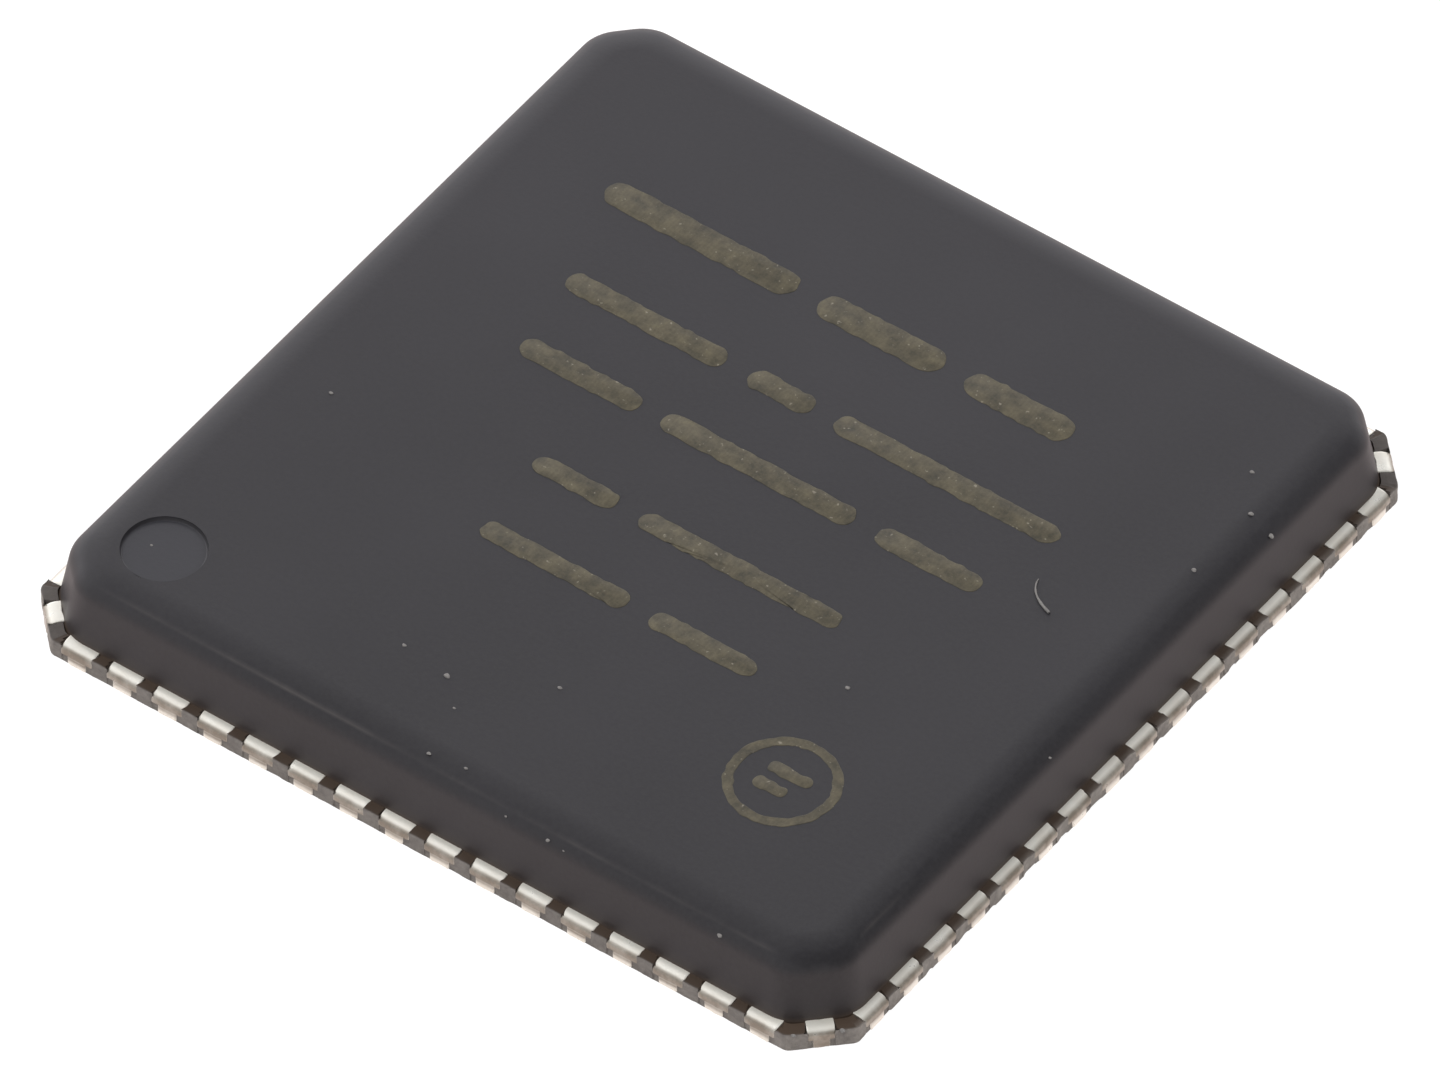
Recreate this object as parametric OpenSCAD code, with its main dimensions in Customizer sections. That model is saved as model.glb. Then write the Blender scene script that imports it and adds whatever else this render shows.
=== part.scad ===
// Square leadless chip package: a moulded cap on an etched copper lead frame, with leads on all
// four sides, an exposed paddle underneath, and a silicon die wired to the leads inside.
// The lands rest on z = 0, the origin is the centre of the paddle, and the first lead is the one
// nearest the corner at -X -Y. Leads count counter-clockwise, seen from above.

/* [Package] */
// Width and length over the lead ends
body_size = 9; // [8:0.5:12]
// Gap from the land faces up to the underside of the compound
standoff = 0.01; // [0.005:0.005:0.05]

/* [Mould cap] */
// Height of the cap above the lead frame
cap_height = 0.65; // [0.6:0.01:1]
// Length of each lead left bare outside the cap wall
lead_reveal = 0.125; // [0.12:0.005:0.2]
// Draft angle of the cap walls
cap_draft = 10; // [5:0.5:15]
// Leg of the chamfer across each cap corner
cap_chamfer = 0.44; // [0.36:0.01:0.7]
// Radius that softens the upright edges of the cap
cap_edge_r = 0.4; // [0.1:0.01:0.5]
// Radius along the top edge of the cap
top_edge_r = 0.22; // [0.1:0.01:0.26]

/* [Orientation dimple] */
// Diameter of the dimple at the top face
dimple_d = 0.76; // [0.4:0.02:1]
// Depth of the dimple
dimple_depth = 0.06; // [0.03:0.01:0.12]
// Distance from the package edges in to the centre of the dimple
dimple_inset = 1; // [0.9:0.05:2]

/* [Rim] */
// Step from the lead ends in to the corner blocks of the rim
rim_setback = 0.005; // [0.005:0.005:0.03]
// Further step in to the broken face of the rim between leads
web_setback = 0.01; // [0.005:0.005:0.05]
// Width of the broken edge along the top of that face
break_w = 0.02; // [0.01:0.005:0.045]
// Height of the same broken edge
break_h = 0.015; // [0.01:0.005:0.06]
// Leg of the chamfer across each rim corner
rim_chamfer = 0.46; // [0.3:0.01:0.5]
// Radius that softens the upright edges of the rim
rim_edge_r = 0.12; // [0.02:0.01:0.2]

/* [Leads] */
// Distance between the centres of neighbouring leads
lead_pitch = 0.5; // [0.4:0.05:0.65]
// Distance from the package edge to the centre of the first lead
row_margin = 0.75; // [0.75:0.05:1.2]
// Width of a lead along its upper half
lead_w = 0.34; // [0.24:0.01:0.36]
// Width of the solder land, where the sides of the lead are etched away from below
land_w = 0.22; // [0.18:0.01:0.24]
// Thickness of the lead frame
frame_t = 0.2; // [0.16:0.01:0.25]
// Thickness left where the frame is half etched from below
etched_t = 0.1; // [0.07:0.01:0.12]
// Length of the solder land under each lead
land_length = 0.4; // [0.3:0.01:0.5]
// Radius of the rolled top edge where the lead was sheared
lead_roll_r = 0.03; // [0.02:0.01:0.08]
// Radius of the upright corners at the lead end
lead_corner_r = 0.02; // [0.01:0.005:0.06]

/* [Die paddle] */
// Gap between the lands and the exposed pad
land_to_pad = 0.45; // [0.38:0.01:0.6]
// Width of the half-etched lip that locks the paddle into the compound
pad_lip = 0.15; // [0.1:0.01:0.2]
// Leg of the chamfer on the pad corner that marks the first lead
pad_chamfer = 0.35; // [0.2:0.05:0.6]
// Radius of the other pad corners
pad_corner_r = 0.15; // [0.05:0.01:0.3]
// Gap between the paddle lip and the tips of the lead fingers
finger_gap = 0.15; // [0.1:0.01:0.2]
// Width of the tie bars that run to the package corners
tie_w = 0.25; // [0.15:0.01:0.28]
// Length of the full-thickness foot at the end of a tie bar
tie_foot = 0.3; // [0.2:0.01:0.4]
// Distance that a sheared tie bar stands proud of the rim corner
tie_proud = 0.005; // [0.005:0.005:0.02]
// Clearance between a tie bar and the lead beside it
tie_clear = 0.08; // [0.05:0.01:0.12]

/* [Die and wires] */
// Width and length of the silicon die
die_size = 4.6; // [3:0.1:5]
// Thickness of the die
die_t = 0.28; // [0.2:0.01:0.3]
// Thickness of the die attach layer
attach_t = 0.025; // [0.015:0.005:0.05]
// Width of the attach that squeezes out round the die
attach_margin = 0.1; // [0.05:0.01:0.2]
// Distance from the die edge in to the row of wire bonds
bond_inset = 0.1; // [0.07:0.01:0.2]
// Distance from the die corner along the row to the first wire bond
bond_margin = 0.35; // [0.25:0.01:0.6]
// Diameter of a bond wire
wire_d = 0.025; // [0.018:0.001:0.038]
// Diameter of the squashed ball that joins a wire to the die
ball_d = 0.06; // [0.045:0.005:0.08]
// Height of the squashed ball
ball_h = 0.02; // [0.012:0.002:0.03]
// Height of the wire loop above the die
loop_rise = 0.13; // [0.1:0.01:0.15]
// Run over which a wire bends from upright to level
loop_bend = 0.08; // [0.05:0.01:0.15]
// Distance from the finger tip to the stitch that joins a wire to its lead
stitch_inset = 0.2; // [0.15:0.01:0.25]
// Length of the stitch along the wire
stitch_length = 0.06; // [0.04:0.005:0.08]

/* [Hidden] */
$fn = 48;

// Sides of the package in order, a quarter turn apart
SIDES = ["front", "right", "back", "left"];

// Facets along a rounded corner, round the tip of a lead and round a wire
corner_steps = 4;
tip_steps = 8;
wire_sides = 6;

// Amount by which a cutting shape runs past the face that it cuts
overrun = 0.1;

// Flat kept on a chamfer between its two softened edges
facet_land = 0.01;

body_half = body_size / 2;
cap_half = body_half - lead_reveal;
cap_top = frame_t + cap_height;
cap_root = (frame_t - standoff) / 4;
rim_half = body_half - rim_setback;
web_half = rim_half - web_setback;
tie_reach = corner_distance(rim_half, rim_chamfer) + tie_proud;

// The small allowance keeps a row that fits exactly from losing its last lead to rounding
lead_count = floor((body_size - 2 * row_margin) / lead_pitch + 0.001) + 1;
row_length = (lead_count - 1) * lead_pitch;

land_end = body_half - land_length;
pad_half = land_end - land_to_pad;
lip_half = pad_half + pad_lip;
finger_end = lip_half + finger_gap;
finger_length = body_half - finger_end;
etched_z = frame_t - etched_t;

die_half = die_size / 2;
die_z = frame_t + attach_t;
die_top = die_z + die_t;
bond_row = die_half - bond_inset;
bond_pitch = (die_size - 2 * bond_margin) / (lead_count - 1);
stitch_row = finger_end + stitch_inset;

mould_colour = "#4a494c";
plated_colour = "#d8d5cd";
attach_colour = "#b9b7b0";
silicon_colour = "#62666e";
gold_colour = "#d9ab4a";

// Turn about the vertical that brings the front row to a side
function side_turn(side) = 90 * search([side], SIDES)[0];

// Unit vector at an angle
function heading(angle) = [cos(angle), sin(angle)];

// Points of an arc about a centre, in the given number of steps
function arc(centre, r, from, to, steps) =
    [for (i = [0:steps]) centre + r * heading(from + (to - from) * i / steps)];

// Distance from the centre of a square to the chamfer across its corner
function corner_distance(half, leg) = (2 * half - leg) / sqrt(2);

// Largest radius that two softened edges can have side by side on a chamfer moved in by an inset
function facet_r(half, leg, inset) =
    (sqrt(2) * (half - inset) - corner_distance(half, leg) + inset) / tan(22.5) - facet_land;

// Outline of a square with chamfered corners, moved in by an inset. Each edge is softened by
// edge_r, or by as much as its chamfer has room for. Sides alternate between straight and
// diagonal, and each softened edge turns 45 degrees.
function chamfered_square(half, leg, inset, edge_r) =
    let (
        r = min(edge_r, facet_r(half, leg, inset)),
        reach = [half - inset - r, corner_distance(half, leg) - inset - r]
    )
    [for (side = [0:7])
        let (
            normal = 45 * side,
            near = reach[side % 2],
            next = reach[(side + 1) % 2],
            along = (next - near * cos(45)) / sin(45),
            corner = near * heading(normal) + along * heading(normal + 90)
        )
        each arc(corner, r, normal, normal + 45, corner_steps)];

// Plan of a lead, or of its land, from the sheared end at y = 0 to the round inner tip
function lead_plan(width, length) = concat(
    arc([width / 2 - lead_corner_r, lead_corner_r], lead_corner_r, -90, 0, corner_steps),
    arc([0, length - width / 2], width / 2, 0, 180, tip_steps),
    arc([lead_corner_r - width / 2, lead_corner_r], lead_corner_r, 180, 270, corner_steps)
);

// Plan of the exposed pad, with a chamfer at the first corner and the others rounded
function pad_plan(half) = concat(
    [[-half, pad_chamfer - half], [pad_chamfer - half, -half]],
    arc([half - pad_corner_r, pad_corner_r - half], pad_corner_r, -90, 0, corner_steps),
    arc([half - pad_corner_r, half - pad_corner_r], pad_corner_r, 0, 90, corner_steps),
    arc([pad_corner_r - half, half - pad_corner_r], pad_corner_r, 90, 180, corner_steps)
);

// One ring of the cap at a height, moved in from the cap base by an inset
function cap_ring(inset, z) =
    [for (p = chamfered_square(cap_half, cap_chamfer, inset, cap_edge_r)) [p.x, p.y, z]];

// Inset of the drafted cap wall at a height
function wall_inset(z) = (z - frame_t) * tan(cap_draft);

// Rings of the rounded top edge, from the drafted wall round to the flat top
function top_edge_rings() =
    let (
        axis_z = cap_top - top_edge_r,
        tangent_z = axis_z + top_edge_r * sin(cap_draft),
        axis_inset = wall_inset(tangent_z) + top_edge_r * cos(cap_draft)
    )
    [for (p = arc([axis_inset, axis_z], top_edge_r, 180 - cap_draft, 90, corner_steps))
        cap_ring(p.x, p.y)];

// Offset of a lead, or of its bond on the die, from the middle of its row
function in_row(i, pitch) = (i - (lead_count - 1) / 2) * pitch;

// One ring of a bond wire. The wire runs in an upright plane from start along direction: u is the
// distance run, z the height, lean the angle of climb, and ru and rv the half widths of the ring.
function wire_ring(start, direction, u, z, lean, ru, rv) =
    let (across = [-direction.y, direction.x])
    [for (i = [0:wire_sides - 1])
        let (
            turn = 360 * i / wire_sides,
            rise = ru * cos(turn),
            plan = start + direction * (u + rise * sin(lean)) + across * rv * sin(turn)
        )
        [plan.x, plan.y, z - rise * cos(lean)]];

// Rings of a bond wire: ball on the die, upright neck, bend, and slope down to a flat stitch
function wire_rings(start, finish) =
    let (
        span = norm(finish - start),
        direction = (finish - start) / span,
        apex = die_top + loop_rise,
        wire_r = wire_d / 2,
        ball_r = ball_d / 2,
        fall = -atan2(apex - frame_t, span - loop_bend)
    )
    [
        wire_ring(start, direction, 0, die_top, 90, ball_r, ball_r),
        wire_ring(start, direction, 0, die_top + ball_h / 2, 90, ball_r, ball_r),
        wire_ring(start, direction, 0, die_top + ball_h, 90, wire_r, wire_r),
        wire_ring(start, direction, 0, apex - loop_bend / 2, 90, wire_r, wire_r),
        wire_ring(start, direction, loop_bend, apex, fall, wire_r, wire_r),
        wire_ring(start, direction, span, frame_t, -90, stitch_length / 2, wire_r)
    ];

// Closed surface through a stack of rings that have equal numbers of points
module skin(rings) {
    count = len(rings[0]);
    last = len(rings) - 1;
    polyhedron(
        points = [for (ring = rings) each ring],
        faces = concat(
            [[for (i = [0:count - 1]) i]],
            [[for (i = [count - 1:-1:0]) last * count + i]],
            [for (j = [0:last - 1], i = [0:count - 1])
                [j * count + i, (j + 1) * count + i, (j + 1) * count + (i + 1) % count]],
            [for (j = [0:last - 1], i = [0:count - 1])
                [j * count + i, (j + 1) * count + (i + 1) % count, j * count + (i + 1) % count]]
        )
    );
}

// Extrudes a side view, drawn as distance along y against height, by a width along x
module across(width) {
    rotate([90, 0, 90])
        linear_extrude(width, center = true)
            children();
}

// Cutter that rolls over the top edge of a sheared end at y = 0
module end_roll() {
    top = frame_t + overrun;
    across(lead_w + tie_w)
        polygon(concat(
            [[lead_roll_r, top], [-overrun, top], [-overrun, frame_t - lead_roll_r]],
            arc([lead_roll_r, frame_t - lead_roll_r], lead_roll_r, 180, 90, corner_steps)
        ));
}

// Clearance on both sides of the tie bars, which trims the fingers of the corner leads
module tie_clearance() {
    width = tie_w + 2 * tie_clear;
    for (turn = [45, 135])
        rotate(turn)
            translate([-tie_reach, -width / 2, -overrun])
                cube([2 * tie_reach, width, frame_t + 2 * overrun]);
}

// One lead: a full-thickness land, and over it a half-etched finger that is wider and reaches
// further in, so that the compound grips it
module lead() {
    difference() {
        union() {
            linear_extrude(frame_t)
                polygon(lead_plan(land_w, land_length));
            translate([0, 0, etched_z])
                linear_extrude(etched_t)
                    polygon(lead_plan(lead_w, finger_length));
        }
        end_roll();
    }
}

// Row of leads along one side
module leads(side) {
    color(plated_colour)
        rotate(side_turn(side))
            difference() {
                for (i = [0:lead_count - 1])
                    translate([in_row(i, lead_pitch), -body_half, 0])
                        lead();
                tie_clearance();
            }
}

// One tie bar along +x: half etched from below, apart from a full-thickness foot at its end
module tie_bar() {
    difference() {
        union() {
            translate([0, -tie_w / 2, etched_z])
                cube([tie_reach, tie_w, etched_t]);
            translate([tie_reach - tie_foot, -tie_w / 2, 0])
                cube([tie_foot, tie_w, frame_t]);
        }
        translate([tie_reach, 0, 0])
            rotate(90)
                end_roll();
    }
}

// Paddle that carries the die: exposed pad, locking lip and four tie bars, etched in one piece
module die_paddle() {
    color(plated_colour)
        union() {
            linear_extrude(frame_t)
                polygon(pad_plan(pad_half));
            translate([-lip_half, -lip_half, etched_z])
                cube([2 * lip_half, 2 * lip_half, etched_t]);
            for (corner = [0:3])
                rotate(45 + 90 * corner)
                    tie_bar();
        }
}

// Layer of silver-filled adhesive under the die
module die_attach() {
    size = die_size + 2 * attach_margin;
    color(attach_colour)
        translate([-size / 2, -size / 2, frame_t])
            cube([size, size, attach_t]);
}

// Silicon die
module silicon_die() {
    color(silicon_colour)
        translate([-die_half, -die_half, die_z])
            cube([die_size, die_size, die_t]);
}

// Wires from the bonds along one edge of the die to the leads of that side
module bond_wires(side) {
    color(gold_colour)
        rotate(side_turn(side))
            for (i = [0:lead_count - 1])
                skin(wire_rings(
                    [in_row(i, bond_pitch), -bond_row],
                    [in_row(i, lead_pitch), -stitch_row]
                ));
}

// Cap with drafted walls, chamfered corners and a rounded top edge, rooted a little way into the rim
module cap_block() {
    root_z = frame_t - cap_root;
    skin(concat([cap_ring(wall_inset(root_z), root_z)], top_edge_rings()));
}

// Rim of compound between the leads, broken back between its corner blocks where it was sheared
module rim_block() {
    difference() {
        translate([0, 0, standoff])
            linear_extrude(frame_t - standoff)
                polygon(chamfered_square(rim_half, rim_chamfer, 0, rim_edge_r));
        for (side = SIDES)
            rotate(side_turn(side))
                across(row_length)
                    polygon([
                        [-body_half, -overrun],
                        [-web_half, -overrun],
                        [-web_half, frame_t - break_h],
                        [break_w - web_half, frame_t],
                        [break_w - web_half, frame_t + overrun],
                        [-body_half, frame_t + overrun]
                    ]);
    }
}

// Dimple in the top face beside the first lead
module dimple() {
    floor_d = dimple_d - 2 * dimple_depth * tan(cap_draft);
    flare = 2 * overrun * tan(cap_draft);
    translate([dimple_inset - body_half, dimple_inset - body_half, cap_top - dimple_depth])
        cylinder(d1 = floor_d, d2 = dimple_d + flare, h = dimple_depth + overrun);
}

// Epoxy body, moulded round everything that it holds
module mould_body() {
    color(mould_colour)
        difference() {
            difference() {
                union() {
                    cap_block();
                    rim_block();
                }
                dimple();
                union() {
                    die_paddle();
                    die_attach();
                    silicon_die();
                }
                for (side = SIDES)
                    leads(side);
            }
            for (side = SIDES)
                bond_wires(side);
        }
}

mould_body();
die_paddle();
die_attach();
silicon_die();
leads("front");  // leads_front
leads("right");  // leads_right
leads("back");  // leads_back
leads("left");  // leads_left
bond_wires("front");  // bond_wires_front
bond_wires("right");  // bond_wires_right
bond_wires("back");  // bond_wires_back
bond_wires("left");  // bond_wires_left
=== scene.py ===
# %% [markdown]
# A leadless chip is a small square of dark moulded epoxy with its metal leads flush in the lower edge.
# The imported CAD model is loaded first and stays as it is. Every new surface below is worked out in
# millimetres from the sizes of that frame, and stands exactly where the solid that it replaces stands.

# %% Load the frame
import bpy
import numpy as np
from mathutils import Matrix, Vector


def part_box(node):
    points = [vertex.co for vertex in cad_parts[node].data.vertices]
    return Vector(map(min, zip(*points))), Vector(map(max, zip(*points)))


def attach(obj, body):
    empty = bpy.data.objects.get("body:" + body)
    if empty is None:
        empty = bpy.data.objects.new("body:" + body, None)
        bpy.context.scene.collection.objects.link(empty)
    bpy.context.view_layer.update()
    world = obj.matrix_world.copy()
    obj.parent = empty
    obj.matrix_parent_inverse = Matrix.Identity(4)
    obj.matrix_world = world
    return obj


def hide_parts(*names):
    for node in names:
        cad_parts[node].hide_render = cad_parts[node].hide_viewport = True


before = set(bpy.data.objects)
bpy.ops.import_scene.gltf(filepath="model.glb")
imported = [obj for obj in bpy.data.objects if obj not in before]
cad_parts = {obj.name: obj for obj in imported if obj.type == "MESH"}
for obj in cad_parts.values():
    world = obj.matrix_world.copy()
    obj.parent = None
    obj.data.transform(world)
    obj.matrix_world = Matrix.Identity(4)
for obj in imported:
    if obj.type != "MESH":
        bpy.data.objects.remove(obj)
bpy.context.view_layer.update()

MM = 0.001
print("nodes in the frame:", sorted(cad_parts))

# %% [markdown]
# The sizes that matter are read off the frame's own boxes, so the looks follow the solids. The few that
# a box can't give, such as a corner radius, are the standard sizes of a 9 mm punched package.

# %% Sizes of the package
def box_mm(name):
    """Lowest and highest corner of a CAD node, in millimetres."""
    low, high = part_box(name)
    return np.array(low) / MM, np.array(high) / MM

lead_low, lead_high = box_mm("leads_front")
_, mould_high = box_mm("mould_body")
LEAD_END = -lead_low[1]
FINGER_LENGTH = lead_high[1] - lead_low[1]
FRAME_T = lead_high[2]
ETCHED_T = FRAME_T / 2
LEAD_W, LAND_W = 0.34, 0.205
LEAD_PITCH = 0.5
LEADS_A_SIDE = 16
LAND_LENGTH, LEAD_REVEAL = 0.4, 0.125
TOP = mould_high[2]
RIM_HALF = mould_high[0]
CAP_HALF = LEAD_END - LEAD_REVEAL
print(f"leads end at {LEAD_END:.3f}, frame {FRAME_T:.3f} thick, top at {TOP:.3f} mm")

# %% [markdown]
# Every finish below is a small tree of shader nodes. Such a tree could be drawn by hand in the editor, but
# one that is written down can be read and changed like the rest. One function turns a written colour to
# the linear values that shaders use, and one adds a node with its settings and links.

# %% Colour and node tools
def linear(code):
    """Linear RGBA of an sRGB hex colour, by the standard sRGB curve."""
    srgb = np.array([int(code[i:i + 2], 16) for i in (1, 3, 5)]) / 255
    low, high = srgb / 12.92, ((srgb + 0.055) / 1.055) ** 2.4
    return (*np.where(srgb <= 0.04045, low, high).tolist(), 1.0)

def add(tree, kind, inputs=None, **settings):
    """Adds one node. Settings are its properties, and inputs are its sockets.

    An input is a value, a hex colour, another node's output, or a node, of which the first output that is
    switched on is taken.
    """
    made = tree.nodes.new("ShaderNode" + kind)
    for name, value in settings.items():
        setattr(made, name, value)
    for socket, value in (inputs or {}).items():
        if isinstance(value, bpy.types.Node):
            value = next(output for output in value.outputs if output.enabled)
        if isinstance(value, bpy.types.NodeSocket):
            tree.links.new(value, made.inputs[socket])
        else:
            made.inputs[socket].default_value = linear(value) if isinstance(value, str) else value
    return made

def new_material(name):
    """An empty node material, its tree, and the place on the part in object coordinates."""
    material = bpy.data.materials.new(name)
    material.use_nodes = True
    tree = material.node_tree
    tree.nodes.clear()
    return material, tree, add(tree, "TexCoord").outputs["Object"]

def per_mm(size):
    """Texture scale at which one feature of a noise or a wave is about this many millimetres wide."""
    return 1 / (size * MM)

print("written #808080 is linear", round(linear("#808080")[0], 4))

# %% [markdown]
# This object is flat metal and moulded epoxy, whose outlines change slowly with height. It could be cut
# from boxes with bevels and Booleans, but a stack of rings, one outline above the other, gives clean faces,
# takes noise on any edge and carries masks for the materials. These tools make outlines and close stacks.

# %% Mesh tools
def link(name, data):
    """A new object in the scene, at the origin, for a mesh, a camera or a lamp."""
    made = bpy.data.objects.new(name, data)
    bpy.context.scene.collection.objects.link(made)
    return made

def skin(name, rings, foot, head, masks=None, crease=35):
    """Closes stacks of rings into one mesh.

    rings is (stacks, rows, columns, 3) in millimetres, each row a ring run counter-clockwise seen from the
    stack's head. Neighbouring rows are joined by four-sided faces, and the first and the last row are
    closed by fans to the points foot and head, one of each per stack. masks are values per ring point.
    """
    stacks, rows, columns, _ = rings.shape
    here = np.arange(rows * columns).reshape(rows, columns)
    beside = np.roll(here, -1, axis=1)
    walls = np.stack([here[:-1], beside[:-1], beside[1:], here[1:]], -1).reshape(-1, 4)
    foot_fan = np.stack([np.full(columns, rows * columns), beside[0], here[0]], -1)
    head_fan = np.stack([np.full(columns, rows * columns + 1), here[-1], beside[-1]], -1)
    fans = np.concatenate([foot_fan, head_fan])
    start = (rows * columns + 2) * np.arange(stacks)[:, None, None]
    points = np.concatenate([rings.reshape(stacks, -1, 3), foot[:, None], head[:, None]], 1)
    mesh = bpy.data.meshes.new(name)
    faces = (walls + start).reshape(-1, 4).tolist() + (fans + start).reshape(-1, 3).tolist()
    mesh.from_pydata((points.reshape(-1, 3) * MM).tolist(), [], faces)
    for label, values in (masks or {}).items():
        flat = np.broadcast_to(values, rings.shape[:3]).reshape(stacks, -1)
        ends = np.zeros((stacks, 2))
        layer = mesh.attributes.new(label, "FLOAT", "POINT")
        layer.data.foreach_set("value", np.concatenate([flat, ends], 1).ravel().astype(np.float32))
    mesh.shade_smooth()
    mesh.set_sharp_from_angle(angle=np.radians(crease))
    print(f"{name}: {len(mesh.vertices)} points, {len(mesh.polygons)} faces")
    return link(name, mesh)

def raised(flat, z):
    """Rings in space from plane outlines: every row gets its own height."""
    return np.concatenate([flat, np.broadcast_to(z[..., None, None], (*flat.shape[:-1], 1))], -1)

def even(steps):
    """Shares at which a stretch is cut into this many equal steps."""
    return np.linspace(0, 1, steps + 1)[1:-1]

def rounded_outline(turns, reach, radius, cuts, arc_steps):
    """Outlines of convex polygons with rounded corners, for every row at once.

    Edge k faces the angle turns[k] (degrees, counter-clockwise) at the distance reach[..., k] from the
    origin. Edges k and k + 1, both moved in by radius[..., k], cross at the centre of their corner's arc,
    and the straight stretch of edge k is cut at the shares cuts[k]. Gives the points and the outward
    normals of the columns.
    """
    angle = np.radians(turns)
    after = np.roll(np.arange(len(turns)), -1)
    bend = (angle[after] - angle) % (2 * np.pi)
    facing = np.stack([np.cos(angle), np.sin(angle)], -1)
    along = np.stack([-np.sin(angle), np.cos(angle)], -1)
    near = reach - radius
    far = reach[..., after] - radius
    centre = near[..., None] * facing + ((far - near * np.cos(bend)) / np.sin(bend))[..., None] * along
    sweep = angle[:, None] + bend[:, None] * np.linspace(0, 1, arc_steps + 1)
    ray = np.stack([np.cos(sweep), np.sin(sweep)], -1)
    arcs = centre[..., None, :] + radius[..., None, None] * ray
    points, normals = [], []
    for k, following in enumerate(after):
        share = cuts[following][:, None]
        begin, end = arcs[..., k, -1:, :], arcs[..., following, :1, :]
        points += [arcs[..., k, :, :], begin * (1 - share) + end * share]
        normals += [ray[k], np.repeat(facing[following][None], len(share), 0)]
    return np.concatenate(points, -2), np.concatenate(normals)

def grain(points, size, seed):
    """Smooth value noise from -1 to 1: random values on a lattice of this size, blended by smoothstep.

    A lattice point's value is an integer hash of its place and the seed: large odd numbers spread the bits.
    """
    cell = np.floor(points / size).astype(np.int64)
    part = points / size - cell
    part = part * part * (3 - 2 * part)
    total = np.zeros(points.shape[:-1])
    for corner in np.ndindex(2, 2, 2):
        key = (cell + corner) * np.array([73856093, 19349663, 83492791])
        mixed = (key[..., 0] ^ key[..., 1] ^ key[..., 2]) + seed * 2654435761
        mixed = ((mixed ^ (mixed >> 13)) * 1274126177) & 0xFFFFFFFF
        weight = np.prod(np.where(np.array(corner) == 1, part, 1 - part), -1)
        total += weight * (((mixed ^ (mixed >> 16)) & 0xFFFF) / 32767.5 - 1)
    return total

def keep(piece, material, stands_for=None):
    """Gives a piece its finish, sets it on the body and hides the solid that it stands for."""
    piece.data.materials.append(material)
    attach(piece, "root")
    if stands_for:
        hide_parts(stands_for)

print("noise at the origin:", grain(np.zeros(3), 1.0, 1).round(3))

# %% [markdown]
# The camera stands where the photographer's stood: over the lower corner, 47 degrees up, far away with a
# very long lens, so that the package's edges stay almost parallel. The numbers come from fitting a
# pinhole camera to the lead ends, and give the whole frame of 1440 by 1080 pixels.

# %% Camera
CAMERA_AZIMUTH, CAMERA_ELEVATION, CAMERA_ROLL = np.radians([36.910, 46.784, -0.546])
CAMERA_DISTANCE = 369.1
CAMERA_SIDE, CAMERA_RISE = -0.002, 0.101
LENS, SENSOR = 1041.8, 36.0

def camera_axes():
    """Right, up and backward directions of the camera, from its azimuth, elevation and roll."""
    flat = np.cos(CAMERA_ELEVATION)
    back_x, back_y = np.sin(CAMERA_AZIMUTH) * flat, -np.cos(CAMERA_AZIMUTH) * flat
    back = np.array([back_x, back_y, np.sin(CAMERA_ELEVATION)])
    level = np.array([np.cos(CAMERA_AZIMUTH), np.sin(CAMERA_AZIMUTH), 0])
    upright = np.cross(back, level)
    right = np.cos(CAMERA_ROLL) * level + np.sin(CAMERA_ROLL) * upright
    return right, np.cross(back, right), back

def posed(axes, stand):
    """World matrix of a thing that stands at stand (mm), with its own axes as the columns of axes."""
    return Matrix([[*row, at * MM] for row, at in zip(axes, stand)] + [[0, 0, 0, 1]])

right, up, back = camera_axes()
camera_stand = back * CAMERA_DISTANCE + right * CAMERA_SIDE + up * CAMERA_RISE
camera = link("camera", bpy.data.cameras.new("camera"))
camera.data.lens = LENS
camera.data.sensor_width = SENSOR
camera.data.clip_start = 0.01
camera.matrix_world = posed(np.stack([right, up, back], 1), camera_stand)
bpy.context.scene.camera = camera
bpy.context.scene.view_settings.view_transform = "Standard"
print("camera stands at", camera_stand.round(1), "mm")

# %% [markdown]
# The chip lies on a sheet of white paper. Lamps strong enough to turn paper pure white would bleach the
# chip as well, so the paper glows for the camera and in reflections, and still takes the chip's shadow.

# %% Floor
FLOOR_HALF = 900.0
PAPER_GLOW, PAPER_LEVEL = 0.74, 1.18

def ray_kinds(tree):
    """Two switches: 1 for rays straight from the camera, and 1 for rays by way of a glossy or clear face."""
    path = add(tree, "LightPath").outputs
    either = {0: path["Is Glossy Ray"], 1: path["Is Transmission Ray"]}
    return path["Is Camera Ray"], add(tree, "Math", either, operation="MAXIMUM")

def white_paper():
    """Smooth white paper: no gloss, a faint cloudiness of the fibres, lit up to the camera and in gloss."""
    material, tree, place = new_material("white_paper")
    direct, mirrored = ray_kinds(tree)
    cloud = add(tree, "TexNoise", {"Vector": place, "Scale": per_mm(40), "Detail": 3.0})
    fibres = add(tree, "Mix", {0: cloud, 6: "#F6F6F5", 7: "#FBFBFA"}, data_type="RGBA")
    matt = add(tree, "BsdfDiffuse", {"Color": fibres})
    warm = add(tree, "Mix", {0: mirrored, 6: "#FFFFFF", 7: "#FFF0EE"}, data_type="RGBA")
    glow = add(tree, "Emission", {"Color": warm, "Strength": PAPER_LEVEL})
    share = add(tree, "Math", {0: direct, 1: PAPER_GLOW, 2: mirrored}, operation="MULTIPLY_ADD")
    both = add(tree, "MixShader", {0: share, 1: matt, 2: glow})
    add(tree, "OutputMaterial", {"Surface": both})
    material.cycles.emission_sampling = "NONE"
    return material

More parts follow.
